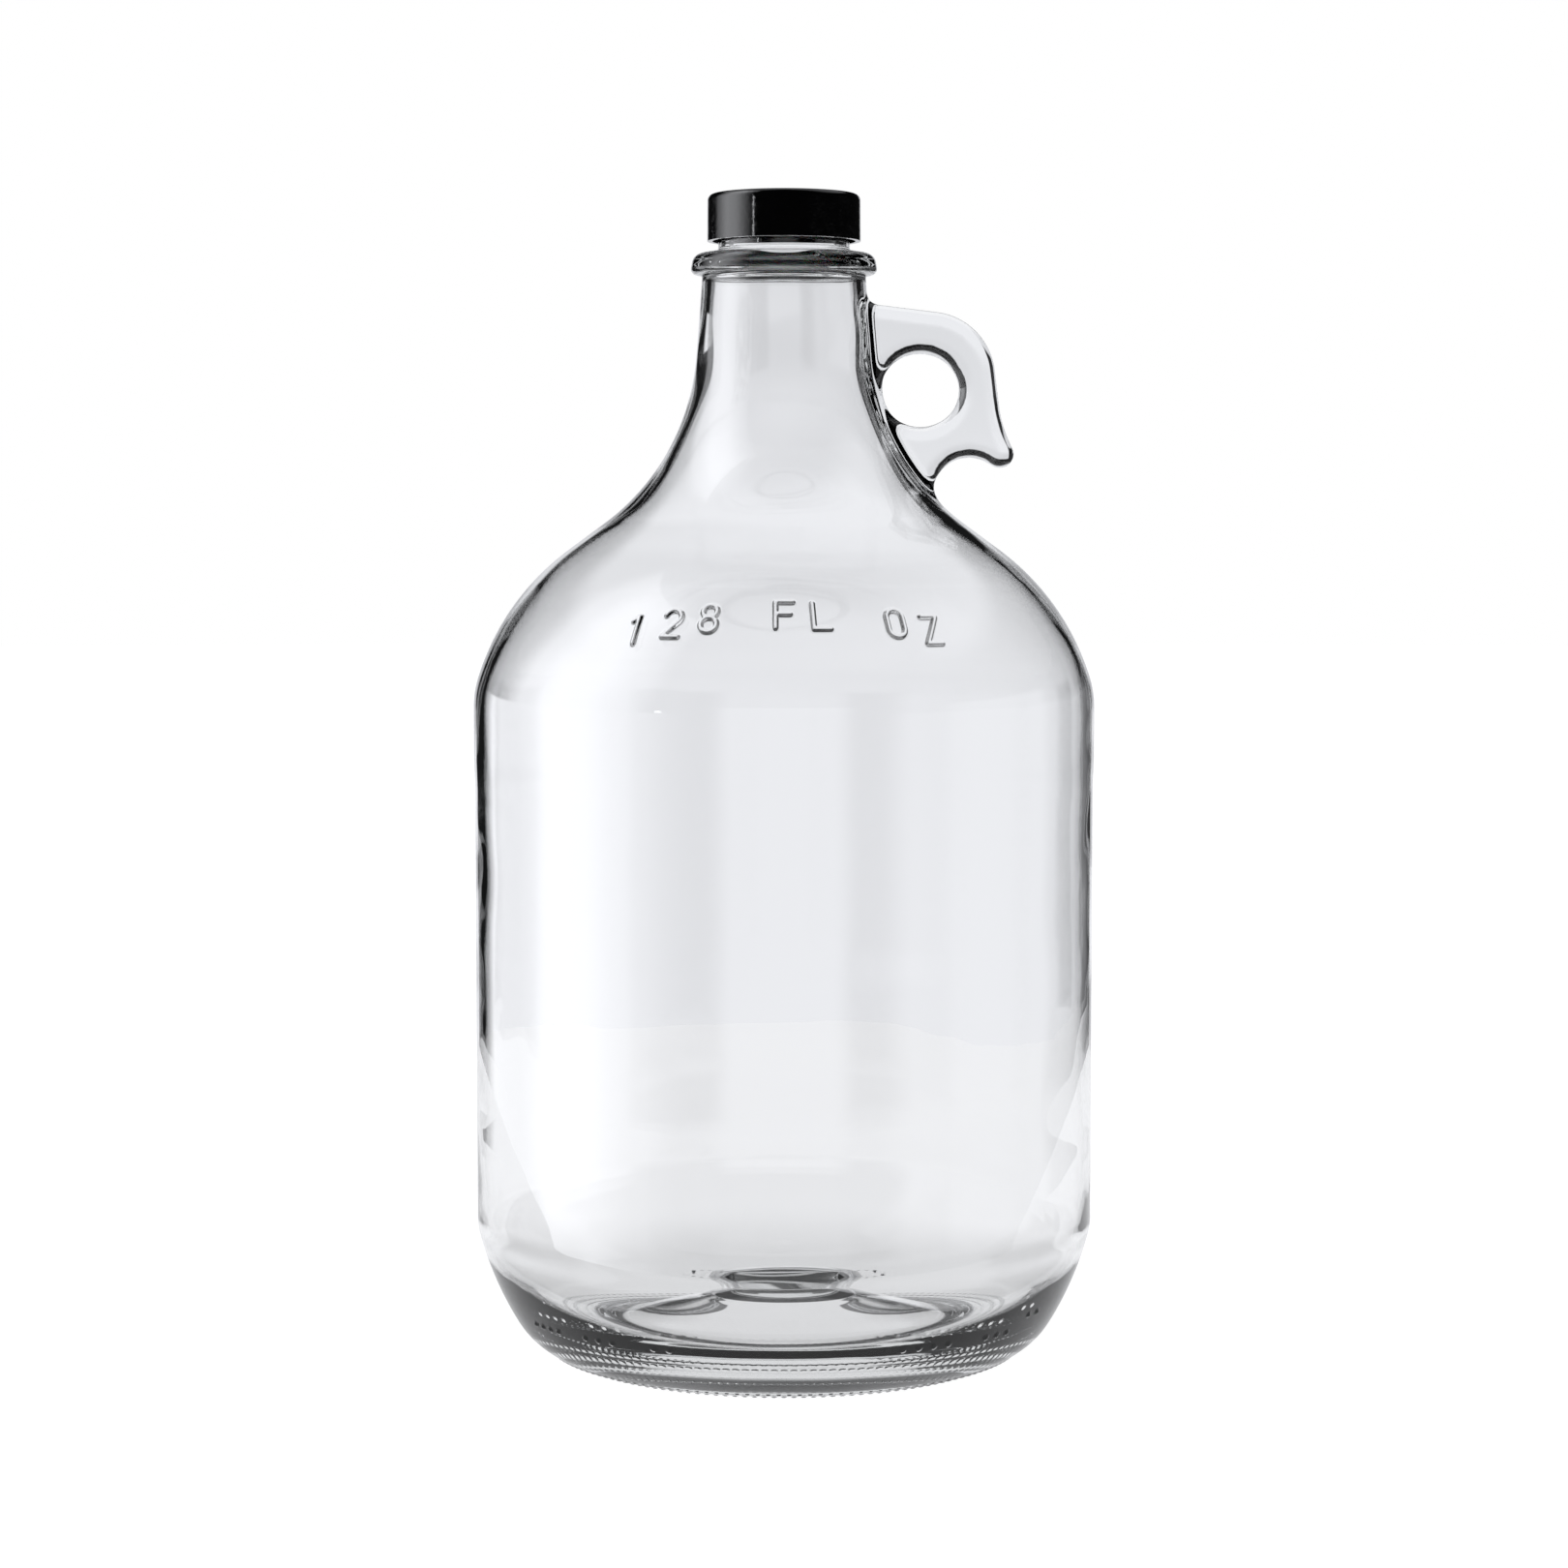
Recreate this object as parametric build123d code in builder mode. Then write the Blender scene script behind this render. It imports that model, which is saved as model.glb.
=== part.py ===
from build123d import *
import os
from math import cos, radians, sin

# ---- body outline, outside surface (millimetres, radius from the vertical axis) ----
body_radius = 82.5          # widest band, just under the shoulder
panel_radius = 82.2         # straight panel, set in a little from the widest band
panel_top = 152.0
band_bottom = 160.0
shoulder_start = 173.7
bearing_inner = 52.2        # flat ring the jug stands on
bearing_outer = 54.2
heel_arcs = [(20.8, 58.7), (86.5, 16.7), (14.45, 14.6)]
shoulder_arcs = [(24.4, 17.3), (66.7, 36.3)]
shoulder_straight = 12.0
neck_arc = (60.4, 48.3)
neck_taper_arc = (690.0, 1.8)

# ---- underside of the base ----
hub_radius = 18.6           # flat disc at the top of the push-up
hub_height = 14.5
punt_edge = 19.4
punt_height = 13.9
punt_middle = (37.0, 6.4)

# ---- inside surface ----
wall = 2.5
floor_height = 20.5         # top of the domed floor, thick glass over the push-up
floor_flatness = 80.0       # how long the dome keeps level at its top, and at its foot
foot_flatness = 25.0
heel_inside_radius = 33.0
heel_inside_top = 38.9
bore_radius = 14.6
bore_bottom = 291.5

# ---- finish: transfer bead, threaded land and lip ----
land_radius = 17.4
thread_radius = 18.6
lip_height = 306.0
lip_round = 1.0
# the bead's outline, from the neck out to its widest point and back to the land
bead_under = ((22.1, 287.2), (23.1, 287.45))
bead_nose = ((24.25, 287.95), (24.6, 289.0))
bead_side = (24.35, 290.4)
bead_over = ((23.6, 292.1), (21.8, 292.9))
land_foot = (18.4, 293.5)
land_hollow = ((17.7, 293.8), (land_radius, 294.5))
thread_lead = 25.4 / 6
thread_low = 299.0
thread_turns = 1.1
thread_root = 0.5           # how deep the ridge is sunk into the land
thread_root_half = 1.3
thread_flank = 0.45
thread_trim = (3.0, 10.0, 3.4)  # block that fades each end of the ridge
thread_trim_shift = 3.1
thread_trim_gap = 0.02

# ---- handle, a rounded plate in the XZ plane ----
handle_thickness = 11.0
handle_edge_round = 3.4
handle_crown = ((0, 282.5), (40.5, 277.5))
handle_corner = (17.5, 76)      # radius and swept angle of each arc along the edge
handle_back = 9.0
handle_waist = (33.0, 21)
handle_tail = (3.6, 150)
handle_tail_flat = 1.2
handle_arch = (9.8, 118)
handle_foot = 226.0
finger_centre = (36.05, 257.0)
finger_half_width = 10.4
finger_half_height = 9.7

# ---- raised mark and heel dots ----
mark_text = "128 FL OZ"
mark_stroke = 1.3
mark_pitch = 7.3            # degrees of turn from one character to the next
mark_half_width = 2.1
mark_half_height = 3.8
mark_relief = 0.7
mark_sink = 0.5             # how deep the strokes start inside the glass
mark_reach = 4.0            # half-length of the block that cuts each character
mark_middle = 199.2
mark_drop = 3.9             # how far the ends of the row sit below its middle
dot_radius = 0.75
dot_ring = (74.4, 14.7)
dot_groups = [(-59.3, 2.8, 4), (-42.7, 3.5, 3), (-26.1, 3.4, 2),
              (23.6, 3.4, 4), (43.6, 3.1, 3), (55.6, 3.1, 2)]

# ---- screw cap ----
cap_bottom = 296.2
cap_top = 308.5
cap_radius = 20.2
cap_draft = 0.08
cap_corner = 1.6
cap_rim_round = 0.35
cap_inner_round = 0.3
cap_bore = 18.9
cap_ceiling = 307.2
cap_thread_radius = 17.75
cap_thread_start = 90.0     # degrees round from +X where the cap thread begins
cap_thread_turns = 1.06
cap_thread_root = 0.4       # how deep the ridge is sunk into the cap wall
cap_thread_root_half = 0.95
cap_thread_flank = 0.4

# ---- cone liner ----
liner_bottom = 306.02
liner_top = 307.17
liner_radius = 18.6
cone_radius = 14.0
cone_tip = 2.6
cone_depth = 6.4
cone_wall = 0.8


def heel_outline():
    """Tangent arcs from the bearing ring up to the straight panel."""
    start = (bearing_outer, 0)
    heading = (1, 0)
    for radius, sweep_angle in heel_arcs:
        arc = JernArc(start=start, tangent=heading, radius=radius, arc_size=sweep_angle)
        start = arc @ 1
        heading = arc % 1
    return start


def shoulder_outline(inset):
    """Shoulder and neck as tangent arcs, moved inward by the given wall."""
    start = (body_radius - inset, shoulder_start)
    heading = (0, 1)
    for radius, sweep_angle in shoulder_arcs:
        arc = JernArc(start=start, tangent=heading, radius=radius - inset,
                      arc_size=sweep_angle)
        start = arc @ 1
        heading = arc % 1
    flat = Line(start, start + heading * shoulder_straight)
    arc = JernArc(start=flat @ 1, tangent=heading, radius=neck_arc[0] + inset,
                  arc_size=-neck_arc[1])
    return arc


def outline_radius(height):
    """Outside radius of the shoulder where the raised mark sits."""
    centre_radius = body_radius - shoulder_arcs[0][0]
    turn = radians(shoulder_arcs[0][1])
    join_radius = centre_radius + shoulder_arcs[0][0] * cos(turn)
    join_height = shoulder_start + shoulder_arcs[0][0] * sin(turn)
    arc_radius = shoulder_arcs[1][0]
    centre = (join_radius - arc_radius * cos(turn), join_height - arc_radius * sin(turn))
    rise = height - centre[1]
    reach = (arc_radius ** 2 - rise ** 2) ** 0.5
    return centre[0] + reach, rise / arc_radius, reach / arc_radius


# ---- one-piece glass: outside form ----
with BuildPart() as glass_outside:
    with BuildSketch(Plane.XZ) as outside_section:
        with BuildLine():
            Line((0, hub_height), (hub_radius, hub_height))
            Line((hub_radius, hub_height), (punt_edge, punt_height))
            ThreePointArc((punt_edge, punt_height), punt_middle, (bearing_inner, 0))
            Line((bearing_inner, 0), (bearing_outer, 0))
            heel_end = heel_outline()
            Polyline(heel_end, (panel_radius, panel_top), (body_radius, band_bottom),
                     (body_radius, shoulder_start))
            neck_curve = shoulder_outline(0)
            neck_end = JernArc(start=neck_curve @ 1, tangent=neck_curve % 1,
                               radius=neck_taper_arc[0], arc_size=-neck_taper_arc[1])
            ThreePointArc(neck_end @ 1, *bead_under)
            ThreePointArc(bead_under[1], *bead_nose)
            Line(bead_nose[1], bead_side)
            ThreePointArc(bead_side, *bead_over)
            Line(bead_over[1], land_foot)
            ThreePointArc(land_foot, *land_hollow)
            Line(land_hollow[1], (land_radius, lip_height - lip_round))
            RadiusArc((land_radius, lip_height - lip_round),
                      (land_radius - lip_round, lip_height), -lip_round)
            Line((land_radius - lip_round, lip_height), (0, lip_height))
            Line((0, lip_height), (0, hub_height))
        make_face()
    revolve(axis=Axis.Z)

# ---- glass: room inside ----
with BuildPart() as glass_inside:
    with BuildSketch(Plane.XZ) as inside_section:
        with BuildLine():
            room_radius = panel_radius - wall
            mouth_radius = bore_radius + lip_round
            Polyline((0, lip_height + 2), (mouth_radius, lip_height + 2),
                     (mouth_radius, lip_height))
            RadiusArc((mouth_radius, lip_height), (bore_radius, lip_height - lip_round),
                      -lip_round)
            Line((bore_radius, lip_height - lip_round), (bore_radius, bore_bottom))
            neck_inner = shoulder_outline(wall)
            neck_inner_end = JernArc(start=neck_inner @ 1, tangent=neck_inner % 1,
                                     radius=neck_taper_arc[0] + wall,
                                     arc_size=-neck_taper_arc[1])
            Spline(neck_inner_end @ 1, (bore_radius, bore_bottom),
                   tangents=(neck_inner_end % 1, (0, 1)))
            Polyline((body_radius - wall, shoulder_start), (body_radius - wall, band_bottom),
                     (room_radius, panel_top), (room_radius, heel_inside_top))
            heel_inside = JernArc(start=(room_radius, heel_inside_top), tangent=(0, -1),
                                  radius=heel_inside_radius, arc_size=-90)
            heel_foot = heel_inside @ 1
            Bezier((0, floor_height), (floor_flatness / 3, floor_height),
                   (heel_foot.X - foot_flatness / 3, heel_foot.Y), heel_foot)
            Line((0, floor_height), (0, lip_height + 2))
        make_face()
    revolve(axis=Axis.Z)


# ---- handle plate with its drooping thumb tail, reaching in to the axis ----
with BuildPart() as handle_plate:
    with BuildSketch(Plane.XZ) as handle_face:
        with BuildLine():
            crown = Line(*handle_crown)
            corner = JernArc(start=crown @ 1, tangent=crown % 1, radius=handle_corner[0],
                             arc_size=-handle_corner[1])
            back = Line(corner @ 1, (corner @ 1) + (corner % 1) * handle_back)
            waist = JernArc(start=back @ 1, tangent=back % 1, radius=handle_waist[0],
                            arc_size=handle_waist[1])
            tail = JernArc(start=waist @ 1, tangent=waist % 1, radius=handle_tail[0],
                           arc_size=-handle_tail[1])
            under = Line(tail @ 1, (tail @ 1) + (tail % 1) * handle_tail_flat)
            arch = JernArc(start=under @ 1, tangent=under % 1, radius=handle_arch[0],
                           arc_size=handle_arch[1])
            Polyline(arch @ 1, ((arch @ 1).X, handle_foot), (0, handle_foot), handle_crown[0])
        make_face()
        with Locations(finger_centre):
            Ellipse(finger_half_width, finger_half_height, mode=Mode.SUBTRACT)
    extrude(amount=handle_thickness / 2, both=True)
    rims = handle_plate.faces().filter_by(Axis.Y).edges()
    fillet(rims, radius=handle_edge_round)

# ---- glass thread, one ridge faded out at both ends ----
with BuildPart() as glass_thread:
    with BuildLine() as glass_helix:
        Helix(pitch=thread_lead, height=thread_lead * thread_turns, radius=land_radius,
              center=(0, 0, thread_low))
    with BuildSketch(Plane(origin=glass_helix.line @ 0, x_dir=(1, 0, 0),
                           z_dir=glass_helix.line % 0)):
        with BuildLine():
            Polyline((-thread_root, -thread_root_half),
                     (thread_radius - land_radius, -thread_flank),
                     (thread_radius - land_radius, thread_flank),
                     (-thread_root, thread_root_half), close=True)
        make_face()
    sweep(is_frenet=True)
    thread_ends = [(thread_low, 0, 1),
                   (thread_low + thread_lead * thread_turns, 360 * thread_turns, -1)]
    for height, turn, side in thread_ends:
        end = Location((0, 0, height), (0, 0, turn))
        with Locations(end * Location((land_radius + thread_trim_gap,
                                       side * thread_trim_shift, 0))):
            Box(*thread_trim, align=(Align.MIN, Align.CENTER, Align.CENTER),
                mode=Mode.SUBTRACT)

# ---- raised capacity mark: characters cut from a thin shell over the shoulder;
#      the strokes of each one run through points in a frame centred on it ----
left, right = -mark_half_width, mark_half_width
low, high = -mark_half_height, mark_half_height
mark_lines = {
    "1": [[(-1.5, high - 1.4), (0, high), (0, low)]],
    "2": [[(1.6, 0.35), (left, low), (right, low)]],
    "8": [],
    "F": [[(right, high), (left, high), (left, low)], [(left, 0.2), (right - 0.6, 0.2)]],
    "L": [[(left, high), (left, low), (right, low)]],
    "O": [[(left, high - right), (left, low + right)],
          [(right, high - right), (right, low + right)]],
    "Z": [[(left, high), (right, high), (left, low), (right, low)]],
}
# arcs of each character: centre, radius, start angle, swept angle
upper_loop = 1.8
lower_loop = 2.05
mark_arcs = {
    "2": [((0, high - right), right, 165, -205)],
    "8": [((0, high - upper_loop), upper_loop, 0, 360),
          ((0, low + lower_loop), lower_loop, 0, 360)],
    "O": [((0, high - right), right, 0, 180), ((0, low + right), right, 180, 180)],
}


def letter_face(letter):
    """Flat outline of one character, its strokes rounded at their ends."""
    with BuildSketch() as strokes:
        for points in mark_lines[letter]:
            for first, second in zip(points, points[1:]):
                with BuildLine():
                    Line(first, second)
                trace(line_width=mark_stroke)
            with Locations(points):
                Circle(mark_stroke / 2)
        for centre, radius, first, swept in mark_arcs.get(letter, []):
            with BuildLine() as curve:
                CenterArc(centre, radius, first, swept)
            trace(line_width=mark_stroke)
            if swept < 360:
                with Locations(curve.line @ 0, curve.line @ 1):
                    Circle(mark_stroke / 2)
    return strokes.sketch


with BuildPart() as mark_shell:
    with BuildSketch(Plane.XZ) as shell_section:
        with BuildLine():
            outer_curve = shoulder_outline(-mark_relief)
            inner_curve = shoulder_outline(mark_sink)
            Line((body_radius + mark_relief, shoulder_start),
                 (body_radius - mark_sink, shoulder_start))
            Line(outer_curve @ 1, inner_curve @ 1)
        make_face()
    revolve(axis=Axis.Z)

middle = (len(mark_text) - 1) / 2
blocks = []
for place, letter in enumerate(mark_text):
    if letter == " ":
        continue
    turn = (place - middle) * mark_pitch
    height = mark_middle - mark_drop * ((place - middle) / middle) ** 2
    reach, out, up = outline_radius(height)
    azimuth = radians(turn - 90)
    centre = (reach * cos(azimuth), reach * sin(azimuth), height)
    normal = (up * cos(azimuth), up * sin(azimuth), out)
    across = (-sin(azimuth), cos(azimuth), 0)
    face = Plane(origin=centre, x_dir=across, z_dir=normal)
    blocks.append(extrude(face * letter_face(letter), amount=mark_reach, both=True,
                          mode=Mode.PRIVATE))

with BuildPart() as mark:
    add(mark_shell.part)
    add(blocks, mode=Mode.INTERSECT)

# ---- whole jug: form, handle, thread, dots and mark, less the room inside ----
with BuildPart() as glass_jug:
    add(glass_outside.part)
    add(handle_plate.part)
    add(glass_thread.part)
    add(glass_inside.part, mode=Mode.SUBTRACT)
    for first, step, count in dot_groups:
        for index in range(count):
            azimuth = radians(first + step * index - 90)
            with Locations((dot_ring[0] * cos(azimuth), dot_ring[0] * sin(azimuth),
                            dot_ring[1])):
                Sphere(dot_radius)
    add(mark.part)
glass_jug.part.label = "one-piece moulded glass jug with finger-ring handle"

# ---- screw cap with its inner thread ----
with BuildPart() as cap_thread:
    with BuildLine() as cap_helix:
        Helix(pitch=thread_lead, height=thread_lead * cap_thread_turns, radius=cap_bore,
              center=(0, 0, thread_low + thread_lead * (cap_thread_start / 360 - 0.5)))
    with BuildSketch(Plane(origin=cap_helix.line @ 0, x_dir=(1, 0, 0),
                           z_dir=cap_helix.line % 0)):
        with BuildLine():
            Polyline((cap_thread_root, -cap_thread_root_half),
                     (cap_thread_radius - cap_bore, -cap_thread_flank),
                     (cap_thread_radius - cap_bore, cap_thread_flank),
                     (cap_thread_root, cap_thread_root_half), close=True)
        make_face()
    sweep(is_frenet=True)

with BuildPart() as screw_cap:
    with BuildSketch(Plane.XZ) as cap_section:
        with BuildLine():
            Polyline((0, cap_top), (cap_radius, cap_top), (cap_radius + cap_draft, cap_bottom),
                     (cap_bore, cap_bottom), (cap_bore, cap_ceiling), (0, cap_ceiling),
                     close=True)
        make_face()
        corners = cap_section.vertices().filter_by(lambda corner: corner.X > 1)
        fillet(corners.sort_by(Axis.Y)[-1], cap_corner)
        fillet(corners.sort_by(Axis.Y)[2], cap_inner_round)
        fillet(corners.sort_by(Axis.Y)[:2], cap_rim_round)
    revolve(axis=Axis.Z)
    with Locations(Location((0, 0, 0), (0, 0, cap_thread_start))):
        add(cap_thread.part)
screw_cap.part.label = "smooth black screw cap, 38-400 thread"

# ---- cone liner: flat flange with a hollow cone reaching into the bore ----
with BuildPart() as cap_liner:
    with BuildSketch(Plane.XZ) as liner_section:
        with BuildLine():
            Polyline((liner_radius, liner_bottom), (liner_radius, liner_top),
                     (cone_radius - cone_wall, liner_top),
                     (cone_tip - cone_wall / 2, liner_top - cone_depth),
                     (0, liner_top - cone_depth),
                     (0, liner_bottom - cone_depth),
                     (cone_tip, liner_bottom - cone_depth),
                     (cone_radius, liner_bottom), close=True)
        make_face()
    revolve(axis=Axis.Z)
cap_liner.part.label = "cone liner that seals the bore"

os.makedirs("parts", exist_ok=True)
export_step(glass_jug.part, "parts/glass_jug.step")
export_step(screw_cap.part, "parts/screw_cap.step")
export_step(cap_liner.part, "parts/cap_liner.step")
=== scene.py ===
from math import atan2, cos, degrees, pi, radians, sin, sqrt

import bmesh
import bpy
import numpy as np
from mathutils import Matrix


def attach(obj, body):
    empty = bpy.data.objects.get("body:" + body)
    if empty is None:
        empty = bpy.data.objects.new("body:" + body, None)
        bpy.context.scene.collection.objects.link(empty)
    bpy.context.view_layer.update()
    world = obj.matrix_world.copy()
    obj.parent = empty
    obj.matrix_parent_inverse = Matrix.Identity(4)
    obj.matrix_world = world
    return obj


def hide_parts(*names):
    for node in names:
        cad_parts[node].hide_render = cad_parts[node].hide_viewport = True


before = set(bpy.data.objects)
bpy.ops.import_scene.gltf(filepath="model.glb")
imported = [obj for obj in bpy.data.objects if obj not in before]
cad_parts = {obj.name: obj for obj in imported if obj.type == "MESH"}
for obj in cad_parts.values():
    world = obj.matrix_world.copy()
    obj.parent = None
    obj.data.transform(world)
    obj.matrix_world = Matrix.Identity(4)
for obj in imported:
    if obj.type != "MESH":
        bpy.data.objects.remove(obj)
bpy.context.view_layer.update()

MM = 0.001

# ---- outside of the glass, millimetres: radius from the axis and height ----
BODY_RADIUS = 82.5
PANEL_RADIUS = 82.2
PANEL_TOP = 152.0
SIDE_BLEND = 8.0
SHOULDER_START = 173.7
BEARING_INNER = 52.2
BEARING_OUTER = 54.2
# the painted contact shadow on the table top is centred on this radius
CONTACT_SHADOW_RADIUS = 50.6
HUB_RADIUS = 18.6
HUB_HEIGHT = 14.5
PUNT_EDGE = 19.4
PUNT_HEIGHT = 13.9
PUNT_MIDDLE = (37.0, 6.4)
HEEL = [("arc", 20.8, 58.7), ("arc", 86.5, 16.7), ("arc", 14.45, 14.6)]
SHOULDER = [("arc", 24.4, 17.3), ("arc", 66.7, 36.3), ("line", 12.0), ("arc", 60.4, -48.3),
            ("arc", 690.0, -1.8)]
BEAD_BOTTOM = [(22.1, 287.2), (23.1, 287.45)]
BEAD_SIDE = [(24.25, 287.95), (24.6, 289.0)]
BEAD_FACE = [(24.5, 289.7), (24.35, 290.4)]
BEAD_CROWN = [(23.6, 292.1), (21.8, 292.9)]
BEAD_SLOPE = [(21.0, 293.05), (20.0, 293.22), (19.2, 293.36), (18.4, 293.5)]
LAND_FOOT = (17.7, 293.8)
LAND_BOTTOM = 294.5
LAND_RADIUS = 17.4
LIP_HEIGHT = 306.0
LIP_ROUND = 1.0

# ---- inside of the glass, millimetres ----
BORE_RADIUS = 14.6
BORE_BOTTOM = 291.5
WALL = 2.5
FLOOR_HEIGHT = 20.5
HEEL_INSIDE_RADIUS = 33.0
HEEL_INSIDE_TOP = 38.9
FLOOR_FLATNESS = 80
FOOT_FLATNESS = 25

# ---- thread on the neck, millimetres and turns ----
THREAD_LEAD = 25.4 / 6
THREAD_LOW = 299.0
THREAD_TURNS = 1.1
THREAD_DEPTH = 1.2
THREAD_HALF_WIDTH = 1.05
THREAD_FADE = 0.07

# ---- handle, in the XZ plane ----
CROWN_START = (0, 282.5)
CROWN_END = (40.5, 277.5)
HANDLE = [("arc", 17.5, -76), ("line", 9.0), ("arc", 33.0, 21), ("arc", 3.6, -150),
          ("line", 1.2), ("arc", 9.8, 118)]
HANDLE_LOW = 226.0
HANDLE_THICKNESS = 11.0
HANDLE_ROUND = 3.3
HANDLE_BLEND = 3.2
FINGER_CENTRE = (36.05, 257.0)
FINGER_HALF = (10.4, 9.7)
NET_BOTTOM = 222.5
NET_TOP = 284.0
NET_START = 8

# ---- raised mark, heel dots and the stipple under the base: millimetres and degrees ----
MARK_TEXT = "128 FL OZ"
MARK_PITCH = 7.3
MARK_STROKE = 1.3
MARK_RELIEF = 0.7
MARK_LOW = 188.0
MARK_HIGH = 206.0
MARK_MIDDLE = 199.2
MARK_DROP = 3.9
MARK_W = 2.1
MARK_H = 3.8
DOT_GROUPS = [(-59.3, 2.8, 4), (-42.7, 3.5, 3), (-26.1, 3.4, 2),
              (23.6, 3.4, 4), (43.6, 3.1, 3), (55.6, 3.1, 2)]
DOT_HEIGHT = 14.7
DOT_RISE = 3.6
DOT_RISE_FROM = 50
DOT_RADIUS = 0.8
DOT_RELIEF = 0.55
STIPPLE_RINGS = (49.0, 52.9, 56.4, 59.8, 63.2)
STIPPLE_COUNT = 150
STIPPLE_RELIEF = 0.42
STIPPLE_HALF_WIDTH = 0.8

# ---- studio: metres for the floor, degrees and light levels for the room ----
COOL_LIGHT = (0.955, 0.965, 1.0, 1)
SWEEP_RADIUS = 6.0
SWEEP_HEIGHT = -0.0002
TABLE_RADIUS = 0.40
TABLE_HEIGHT = -0.0004
TABLE_BACK = 0.25
# painted shade on the table top: how far out the glow is dimmed under the jug and how dim it gets,
# then the edge and level of the painted contact shadow
PAINTED_SHADE_REACH = (0.07, 0.17)
PAINTED_SHADE_DIMMEST = 0.66
CONTACT_SHADOW_EDGE = (0.0026, 0.0046)
CONTACT_SHADOW_LEVEL = 0.08
DISC_CORNERS = 96
BACKDROP_LOW = 0.92
BACKDROP_HIGH = 0.75
BACKDROP_AROUND = 0.85
FAR_FLOOR = 0.78
DARKNESS = 0.01
CAMERA_PLACE = (0, -0.96427, 0.22047)
CAMERA_DIP = 4.038
CAMERA_LENS = 83.06
CAMERA_SENSOR = 36.0


def walk(start, heading, steps, spacing):
    """Points along a chain of tangent arcs and lines; positive arcs turn left."""
    points = [np.array(start, float)]
    angle = radians(heading)
    for step in steps:
        here = points[-1]
        if step[0] == "line":
            count = max(1, int(np.ceil(step[1] / spacing)))
            way = np.array([cos(angle), sin(angle)])
            points += [here + way * step[1] * k / count for k in range(1, count + 1)]
            continue
        radius = step[1]
        swept = radians(step[2])
        side = 1 if swept > 0 else -1
        centre = here + side * radius * np.array([-sin(angle), cos(angle)])
        count = max(3, int(np.ceil(radius * abs(swept) / spacing)))
        for k in range(1, count + 1):
            turn = angle + swept * k / count
            points.append(centre + side * radius * np.array([sin(turn), -cos(turn)]))
        angle += swept
    return np.array(points)


def three_point_arc(first, middle, last, spacing):
    """Points on the circle through three points, the first one left out."""
    (ax, ay), (bx, by), (cx, cy) = first, middle, last
    d = 2 * (ax * (by - cy) + bx * (cy - ay) + cx * (ay - by))
    ux = ((ax * ax + ay * ay) * (by - cy) + (bx * bx + by * by) * (cy - ay)
          + (cx * cx + cy * cy) * (ay - by)) / d
    uy = ((ax * ax + ay * ay) * (cx - bx) + (bx * bx + by * by) * (ax - cx)
          + (cx * cx + cy * cy) * (bx - ax)) / d
    radius = sqrt((ax - ux) ** 2 + (ay - uy) ** 2)
    a0 = atan2(ay - uy, ax - ux)
    swept = atan2(cy - uy, cx - ux) - a0
    through = atan2(by - uy, bx - ux) - a0
    swept = (swept + pi) % (2 * pi) - pi
    through = (through + pi) % (2 * pi) - pi
    if swept * through < 0:
        swept -= 2 * pi * (1 if swept > 0 else -1)
    count = max(2, int(np.ceil(radius * abs(swept) / spacing)))
    turns = [a0 + swept * k / count for k in range(1, count + 1)]
    return [(ux + radius * cos(t), uy + radius * sin(t)) for t in turns]


def smoothstep(low, high, value):
    t = np.clip((value - low) / (high - low), 0, 1)
    return t * t * (3 - 2 * t)


def resample(points, spacing):
    """The same line with evenly spaced points."""
    steps = np.hypot(*np.diff(points, axis=0).T)
    along = np.concatenate([[0], np.cumsum(steps)])
    count = max(2, int(round(along[-1] / spacing)) + 1)
    marks = np.linspace(0, along[-1], count)
    return np.column_stack([np.interp(marks, along, points[:, k]) for k in (0, 1)])


def between(points, low, high):
    """The part of a rising line between two heights, cut exactly at both."""
    inside = points[(points[:, 1] > low + 1e-6) & (points[:, 1] < high - 1e-6)]
    first = (np.interp(low, points[:, 1], points[:, 0]), low)
    last = (np.interp(high, points[:, 1], points[:, 0]), high)
    return np.vstack([[first], inside, [last]])


# ---- outline of the outside, from the bearing ring to the neck ----
FINE = 0.2
FAR_AWAY = 20.0
heel_line = walk((BEARING_OUTER, 0.0), 0, HEEL, FINE)
shoulder_line = walk((BODY_RADIUS, SHOULDER_START), 90, SHOULDER, FINE)
neck_end = tuple(shoulder_line[-1])
side_line = np.vstack([heel_line, [(PANEL_RADIUS, z) for z in np.arange(40, PANEL_TOP, 4)],
                       [(PANEL_RADIUS, PANEL_TOP)], [(BODY_RADIUS, PANEL_TOP + SIDE_BLEND)],
                       shoulder_line])


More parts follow.
